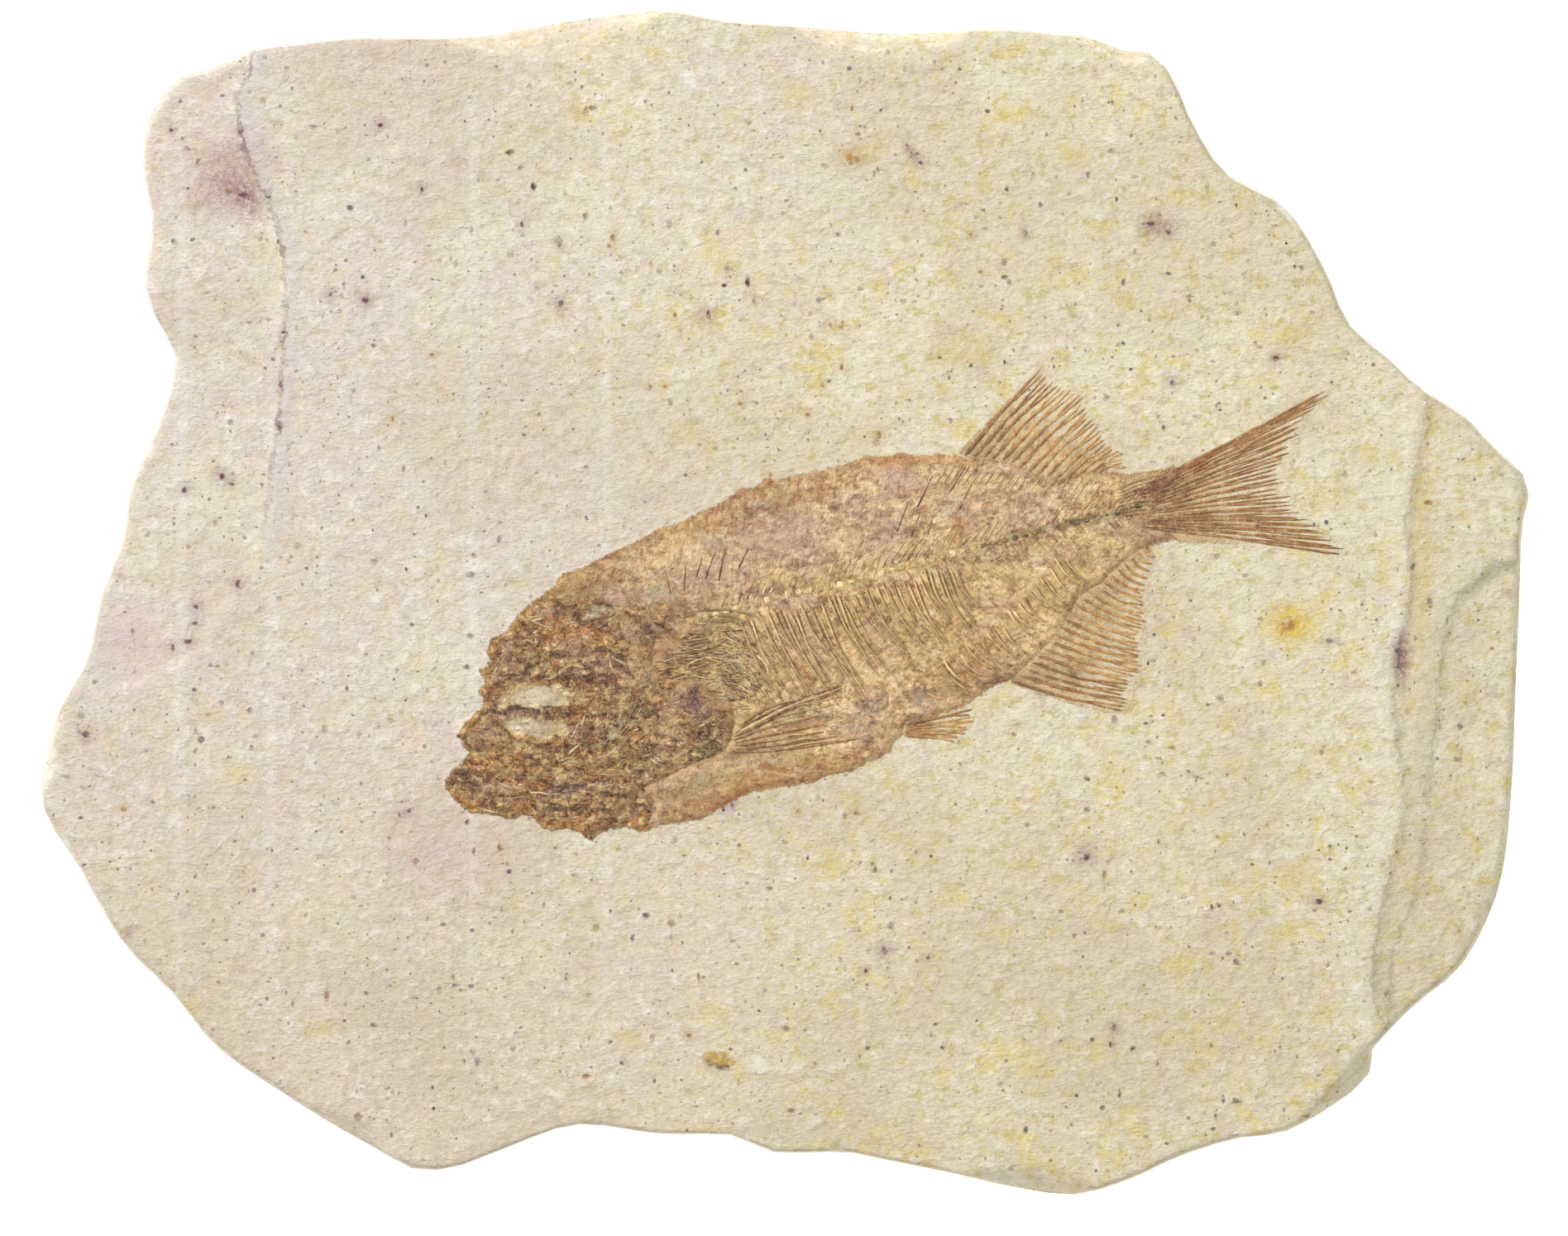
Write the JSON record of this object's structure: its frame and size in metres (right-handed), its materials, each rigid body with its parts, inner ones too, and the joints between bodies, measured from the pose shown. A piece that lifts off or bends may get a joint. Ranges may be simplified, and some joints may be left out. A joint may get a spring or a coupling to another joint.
{
  "type": "fossil fish slab",
  "caption": "Thin irregular limestone slab with a broken edge and small ledges; a bony fish lies pressed flat on its upper face, head left, fins spread.",
  "frame": {"origin": "middle of the slab's outline on its flat underside", "axes": "+X towards the fish's tail, along the slab's length; +Y towards the fish's back; +Z out of the face the fish lies on"},
  "size_m": [0.1989, 0.1581, 0.0148],
  "materials": {
    "limestone": "matt, fine-grained, chalky",
    "fossil_bone": "satin, mineralised bone",
    "fossil_skin": "matt, thin mineral film"
  },
  "bodies": {
    "root": {"slab": "limestone", "skull": "fossil_bone", "lower_jaw": "fossil_bone", "trunk": "fossil_skin", "backbone": "fossil_bone", "pectoral_fin": "fossil_bone", "dorsal_fin": "fossil_bone", "anal_fin": "fossil_bone", "pelvic_fin": "fossil_bone", "tail_fin": "fossil_bone"}
  },
  "joints": []
}
